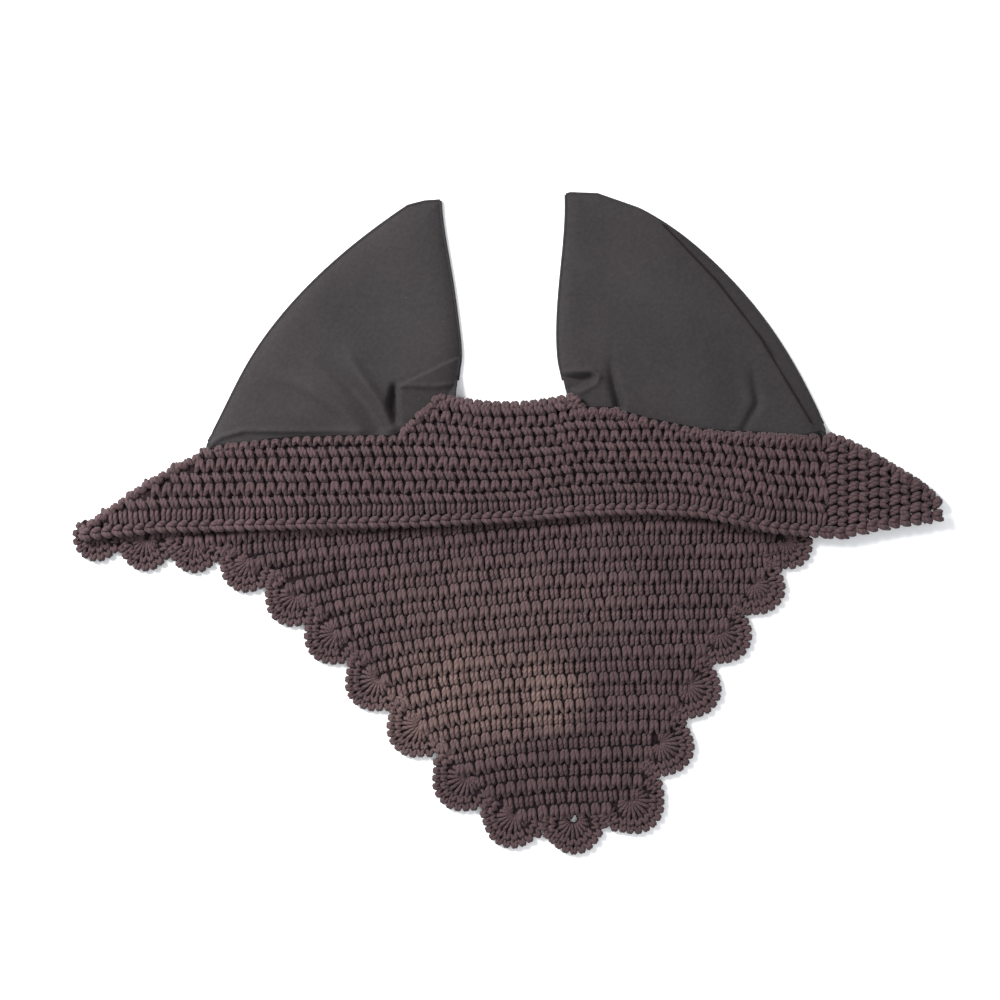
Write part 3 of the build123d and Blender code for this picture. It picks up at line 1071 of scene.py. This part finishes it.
def shellGround(shell, body):
    name = shell["name"] + "_ground"
    z = frontHeight(*shell["centre"]) - 0.4 * mm
    eye = max(shell["eye"] - 0.8 * mm, 0.4 * mm)
    steps, rings = 48, 5
    points, faces = [], []
    for i in range(steps + 1):
        angle = -math.pi + 2 * math.pi * i / steps
        outer = edgeDistanceAt(shell, angle) - 2.0 * mm
        if abs(angle) >= fan["groundFrom"]:
            outer = outer + 3.2 * mm if body == "forehead_flap" else 8.5 * mm
        while not ownSide(shell, spotAt(shell, angle, outer), 0.03):
            outer -= 0.5 * mm
        edge = spotAt(shell, angle, outer)
        start = shell["hole"] + (edge - shell["hole"]).normalized() * eye
        points += [(*start.lerp(edge, j / rings), z) for j in range(rings + 1)]
    for i in range(steps):
        for j in range(rings):
            a = i * (rings + 1) + j
            faces.append((a, a + 1, a + rings + 2, a + rings + 1))
    # the sheet under each fan takes the gap paint: painted shade between the posts
    mesh = newMesh(name, points, faces, paints=[groundShadePaint])
    area = sum(p.area for p in mesh.polygons)
    obj = newObject(name, mesh)
    thicken(obj, fan["groundThick"])
    return obj, area


bodyOf = {node: body for body, nodes in frame["record"]["behaviour"]["bodies"].items() for node in nodes}
for number, shell in enumerate(shells):
    body = bodyOf[shell["name"]]
    work = stitches(shell["name"] + "_crochet", shellPlaces(shell), 30 + number, 0.06, 0.04)
    sheet, area = shellGround(shell, body)
    for piece in (work, sheet):
        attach(piece, body)
    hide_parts(shell["name"])
    declareSheet(sheet, area)
print("shells worked:", len(shells))


# the ears
def outlineOf(nodes):
    # outline of some flat CAD nodes, from rays out of their middle that also meet every CAD corner
    tree = cadTree(*nodes)
    corners = [v.co for n in nodes for v in frame["nodes"][n].data.vertices]
    middle = Vector(((min(c.x for c in corners) + max(c.x for c in corners)) / 2,
                     (min(c.y for c in corners) + max(c.y for c in corners)) / 2))
    angles = {round(2 * math.pi * i / 300, 4) for i in range(300)}
    angles |= {round(math.atan2(c.y - middle.y, c.x - middle.x) % (2 * math.pi), 4) for c in corners}
    outline = []
    for angle in sorted(angles):
        way = polar(angle)
        far = 160 * mm
        while far > 0 and topOf(tree, *(middle + way * far)) is None:
            far -= 2 * mm
        low, high = far, far + 2 * mm
        for _ in range(8):
            half = (low + high) / 2
            low, high = (low, half) if topOf(tree, *(middle + way * half)) is None else (half, high)
        outline.append(middle + way * low)
    return outline


def resampled(line, count):
    line = np.array([tuple(p) for p in line])
    lengths = np.concatenate([[0], np.cumsum(np.linalg.norm(np.diff(line, axis=0), axis=1))])
    steps = np.linspace(0, lengths[-1], count)
    return np.stack([np.interp(steps, lengths, line[:, 0]), np.interp(steps, lengths, line[:, 1])], axis=1)


def between(outline, start, end):
    # the part of a closed outline from one corner to another, the shorter way round
    one = [outline[(start + i) % len(outline)] for i in range((end - start) % len(outline) + 1)]
    other = [outline[(start - i) % len(outline)] for i in range((start - end) % len(outline) + 1)]
    return one if len(one) < len(other) else other


cloth = {
    "across": 140,          # points of a panel's net
    "up": 160,
    "thick": 0.6 * mm,
    "seamZ": 2.0 * mm,      # where the two panels meet
    "edge": 4.5 * mm,       # how soon a panel leaves its seam
    "bend": 9.0 * mm,       # half of the width that turns over at the crease
    "tuck": 5 * mm,         # how far the cloth runs in under the band
    "cornerSide": 14 * mm,  # the net leaves the outline this far before its inner corner
    "cornerRise": 20 * mm,  # and comes back to it this far above
    "seamPoints": 60,
    "hemBelow": 4 * mm,     # the hems start this far below the crease
}


def panelNet(outline, ways, corner):
    # an even net of points over a four-cornered outline; ways point to base A, base B, tip B, tip A
    across, up = cloth["across"], cloth["up"]
    corners = [max(range(len(outline)), key=lambda i: outline[i].dot(Vector(way))) for way in ways]
    side = 1 if corner.x > outline[corners[0]].x else -1
    base = [p for p in between(outline, corners[0], corners[1])
            if (corner.x - p.x) * side > cloth["cornerSide"]]
    base = [Vector((p.x, min(p.y, np.interp(p.x, *bandTop) - cloth["tuck"]))) for p in base] + [corner]
    inner = [p for p in between(outline, corners[1], corners[2]) if p.y > corner.y + cloth["cornerRise"]]
    base, inner = resampled(base, across), resampled([corner] + inner, up)
    tip = resampled(between(outline, corners[3], corners[2]), across)
    outer = resampled([Vector(base[0])] + between(outline, corners[0], corners[3])[1:], up)
    u = np.linspace(0, 1, across)[None, :, None]
    v = np.linspace(0, 1, up)[:, None, None]
    net = (1 - v) * base[None] + v * tip[None] + (1 - u) * outer[:, None] + u * inner[:, None]
    net -= (1 - u) * (1 - v) * base[0] + u * (1 - v) * base[-1] + (1 - u) * v * tip[0] + u * v * tip[-1]
    return net.reshape(-1, 2), {"inner": inner, "outer": outer, "tip": tip}


def lineField(points, line):
    # how far each point lies from a line, how far along it that is, and which side (left of it is 1)
    best, along, side = np.full(len(points), 1e9), np.zeros(len(points)), np.ones(len(points))
    line = np.array(line, float)
    lengths = np.linalg.norm(np.diff(line, axis=0), axis=1)
    done = 0.0
    for a, b, length in zip(line, line[1:], lengths):
        if length == 0:
            continue
        ab, ap = b - a, points - a
        t = np.clip(ap @ ab / (ab @ ab), 0, 1)
        far = np.linalg.norm(ap - t[:, None] * ab, axis=1)
        near = far < best
        best[near] = far[near]
        along[near] = ((done + t * length) / lengths.sum())[near]
        side[near] = np.sign(ab[0] * ap[:, 1] - ab[1] * ap[:, 0])[near]
        done += length
    return best, along, side


def fold(line, height, width, ends, fade=None):
    return {"line": line, "height": height, "width": width, "ends": ends, "fade": fade}


# folds are placed from the middle of each ear's crease, in mm; one with a fade falls off sharply on its
# line's right and dies out on its left; ends are shares of the height at the line's start, middle and end
rightSeam = [(67.8, -16), (47.5, 17.7), (39.4, 31.9), (13, 66.4), (-17.4, 98.9)]
ears = {
    "left": {
        "ways": ((-1, -0.75), (0.6, -1), (1, 0.8), (-0.12, 1)),
        "corner": (70.6, 1.5),      # where the inner edge goes under the poll fold
        "seam": None,
        "folds": [
            fold([(71.5, 26.5), (38.6, 10.2), (38.4, 0.8), (40, -12)], 4.4, 0.8, (0.3, 1.1, 0.8), 26),
            fold([(35.6, 9), (34.6, -1), (36.4, -10)], -9.0, 2.2, (0.4, 1.0, 0.3)),
            fold([(38.6, 10.2), (58.9, 9.7), (69, 11.5)], 1.4, 1.5, (1.0, 1.0, 0.6)),
            fold([(34, -14), (27, 1), (15, 18), (6, 34)], 4.0, 3.6, (0.5, 1.0, 0.0)),
            fold([(27, -13), (18, 1), (6, 14), (-8, 28)], -3.4, 4.6, (0.6, 1.0, 0.0)),
            fold([(15.7, -16), (6.5, -4), (-13, 9), (-43, 23)], 3.4, 4.8, (0.7, 1.0, 0.0)),
            fold([(-69, -22), (-63, -18.8), (-50.7, -15.4), (-19.4, -15.6), (16.6, -15.9)],
                 2.2, 1.5, (1.0, 0.9, 0.2)),
        ],
    },
    "right": {
        "ways": ((1, -0.75), (-0.6, -1), (-1, 1), (0.12, 1)),
        "corner": (-72, -3),
        "seam": rightSeam,
        "folds": [
            fold([(-75, 7.5), (-66, 8), (-59.5, 9)], -6.0, 3.2, (0.9, 1.0, 0.7)),
            fold([(-74, 13), (-58, 13.6), (-54.5, 10.5), (-56.5, 6.5), (-65, 1.5)],
                 2.2, 1.6, (0.5, 1.0, 0.7)),
            fold([(-55, 8), (-49, 0), (-46, -9)], 1.4, 4.0, (1.0, 1.0, 0.5)),
            fold([(-48.5, 23), (-46, 7.5), (-42.8, -7)], -4.4, 2.6, (0.0, 0.8, 1.0)),
            fold([(33.3, 17.7), (37.4, -4.6), (28.3, -21)], -2.2, 2.2, (0.0, 1.0, 0.5)),
            fold([(28, 18), (32, -4.6), (24, -21)], 1.1, 2.8, (0.0, 1.0, 0.4)),
            fold(rightSeam, 1.6, 0.8, (0.6, 1.0, 0.3), 22),
        ],
    },
}


def foldedHeights(local, folds):
    rise = np.zeros(len(local))
    for one in folds:
        far, along, side = lineField(local, one["line"])
        amount = one["height"] * np.interp(along, (0, 0.5, 1), one["ends"])
        if one["fade"] is None:
            rise += amount * np.exp(-(far / one["width"]) ** 2)
        else:
            signed = far * side
            step = np.clip(signed / one["width"] * 0.5 + 0.5, 0, 1)
            rise += amount * step * np.exp(-np.maximum(signed, 0) / one["fade"])
    return rise * mm


def panelHeights(points, edges, pivot, up, folds):
    # the front panel bellies up from its seam and goes in under the band; the back one lies almost flat
    local = points - pivot
    lengthwise = local @ up
    share = np.clip(lengthwise / lengthwise.max(), -0.3, 1)
    rim = np.concatenate([edges["outer"], edges["tip"], edges["inner"][::-1]])
    fromRim = lineField(points, rim)[0]
    soft = np.array([softNoise(x, y, 48 * mm, 5.0) for x, y in points])
    belly = (2.2 + 3.6 * np.clip(1 - share, 0, 1) ** 1.3) * mm
    rise = np.maximum(1 - np.exp(-fromRim / cloth["edge"]), np.clip(-share * 6, 0, 1))
    front = cloth["seamZ"] + rise * (belly + 0.7 * mm * soft) + foldedHeights(local / mm, folds)
    under = np.array([bandHeight(x, y) for x, y in points]) - yarn["layer"] / 2 - 1.0 * mm
    hidden = points[:, 1] < np.interp(points[:, 0], *bandTop) - 1.0 * mm
    front[hidden] = np.minimum(front[hidden], under[hidden])
    back = 1.0 * mm + 3.0 * mm * np.clip(0.1 - share, 0, 0.3) / 0.3 + (1 - rise) * 0.3 * mm
    return np.maximum(front, cloth["seamZ"]), back


def earPanel(name, points, heights):
    across, up = cloth["across"], cloth["up"]
    faces = [(j * across + i, j * across + i + 1, (j + 1) * across + i + 1, (j + 1) * across + i)
             for j in range(up - 1) for i in range(across - 1)]
    mesh = newMesh(name, [(x, y, z) for (x, y), z in zip(points, heights)], faces, paints=[clothPaint])
    if mesh.polygons[0].normal.z < 0:
        mesh.flip_normals()
    obj = newObject(name, mesh)
    area = sum(p.area for p in mesh.polygons)
    thicken(obj, cloth["thick"])
    return obj, area


def seamStrand(seam, pivot, points, heights):
    # the raised seam that runs over the front panel
    count = cloth["seamPoints"]
    way = resampled([np.array(p) * mm + pivot for p in seam], count)
    zs = [heights[np.argmin(np.linalg.norm(points - p, axis=1))] for p in way]
    zs = np.convolve(np.pad(zs, 2, mode="edge"), [0.2] * 5, mode="valid")
    return strand([(x / mm, y / mm, z / mm + 0.2) for (x, y), z in zip(way, zs)], [0.5] * count, count, 5)


def earPieces(side):
    look = ears[side]
    joint = jointNamed(f"{side}_ear_crease")
    pivot = Vector(joint["pos_m"][:2])
    along = Vector(joint["axis"][:2]).normalized()
    up = Vector((-along.y, along.x))

    def placeCloth(piece, *nodes):
        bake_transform(piece)
        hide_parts(*(f"{side}_ear_{node}" for node in nodes))

    outline = outlineOf([f"{side}_ear_front_panel", f"{side}_ear_base_front", f"{side}_ear_base_seam"])
    points, edges = panelNet(outline, look["ways"], pivot + Vector(look["corner"]) * mm)
    pivot, up = np.array(pivot), np.array(up)
    front, back = panelHeights(points, edges, pivot, up, look["folds"])
    for face, heights in (("front", front), ("back", back)):
        obj, area = earPanel(f"{side}_ear_{face}_cloth", points, heights)
        placeCloth(obj, f"{face}_panel", f"base_{face}")
        declareSheet(obj, area)

    # the turned seams that close the two panels
    outer = np.concatenate([edges["outer"], edges["tip"]])
    for part, line in (("outer", outer), ("inner", edges["inner"])):
        name = f"{side}_ear_{part}_hem"
        path = [(x / mm, y / mm, cloth["seamZ"] / mm - 0.4) for x, y in line
                if ((x, y) - pivot) @ up > -cloth["hemBelow"]]
        strands = [strand(path, [0.95] * len(path), max(len(path) // 2, 20), 8)]
        plain = len(strands[0][1])
        if part == "outer" and look["seam"]:
            strands.append(seamStrand(look["seam"], pivot, points, front))
        # the seam strand takes the near-black gap paint: a painted shade line along the seam
        mesh = yarnMesh(name, strands, [clothPaint, groundShadePaint])
        for polygon in mesh.polygons[plain:]:
            polygon.material_index = 1
        placeCloth(newObject(name, mesh), f"{part}_seam")


threadPath = [(-1.5, 0, -0.6), (-0.8, 0, 0.25), (0.8, 0, 0.25), (1.5, 0, -0.6)]
threadPitch = 3.4 * mm


def baseSeam(side, low, high, seed):
    # thread sewing a sleeve to the crochet: short stitches on the cloth, painted near-black as a shadow line
    line = []
    for x in np.arange(low, high, 2 * mm):
        y = np.interp(x, *bandTop)
        line.append((x, y + 0.6 * mm, max(bandHeight(x, y - 2 * mm) - 1.6 * mm, 5 * mm)))
    mesh = yarnMesh("threadStitch", [strand(threadPath, [0.3] * 4, 4, 5)])
    unit = bpy.data.objects.new("threadStitch", mesh)
    # the gap paint makes this stitching a painted shadow line at the crochet's edge
    made = alongLine(f"{side}_ear_base_stitching", line, unit, threadPitch, groundShadePaint, seed)
    bpy.data.objects.remove(unit)
    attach(made, "cap")
    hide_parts(f"{side}_ear_base_seam")


earPieces("left")
earPieces("right")
baseSeam("left", leftFold + 2 * mm, pollLow.x, 60)
baseSeam("right", pollHigh.x, rightFold - 1 * mm, 61)
for unit in list(units.objects):
    bpy.data.objects.remove(unit)
print("ears sewn")


# floor, light and camera
stage = {
    "floorHalf": 3.0,
    "floor": (0.93, 0.93, 0.94, 1),
    "sky": (0.96, 0.98, 1.0, 1),
    "skyStrength": 0.78,
    # place, size in metres, watts
    "lights": {"key": ((-0.85, 0.65, 0.85), 0.45, 35.0), "fill": ((0.9, -0.6, 1.4), 1.2, 5.0)},
    "lens": 60,
    "sensor": 36,
    "viewMiddle": (-0.0064, 0.0139),
    "viewWidth": 0.580,
}


def addFloor():
    s = stage["floorHalf"]
    material, _, shader = newMaterial("whitePaper")
    shader.inputs["Base Color"].default_value = stage["floor"]
    shader.inputs["Roughness"].default_value = 0.9
    corners = [(-s, -s, 0), (s, -s, 0), (s, s, 0), (-s, s, 0)]
    newObject("floor", newMesh("floor", corners, [(0, 1, 2, 3)], paints=[material]))


def addLights():
    world = bpy.data.worlds.new("studio")
    scene.world = world
    world.use_nodes = True
    sky = world.node_tree.nodes["Background"]
    sky.inputs[0].default_value = stage["sky"]
    sky.inputs[1].default_value = stage["skyStrength"]
    for name, (place, size, power) in stage["lights"].items():
        light = bpy.data.lights.new(name, "AREA")
        light.size = size
        light.energy = power
        lamp = newObject(name, light)
        lamp.location = place
        lamp.rotation_euler = (-Vector(place)).to_track_quat("-Z", "Y").to_euler()


def addCamera():
    # straight above, looking down
    camera = bpy.data.cameras.new("camera")
    camera.lens = stage["lens"]
    camera.sensor_width = stage["sensor"]
    obj = newObject("camera", camera)
    obj.location = (*stage["viewMiddle"], stage["viewWidth"] * stage["lens"] / stage["sensor"])
    bpy.context.scene.camera = obj


addFloor()
addLights()
addCamera()
scene.view_settings.view_transform = "Standard"
print("stage set")
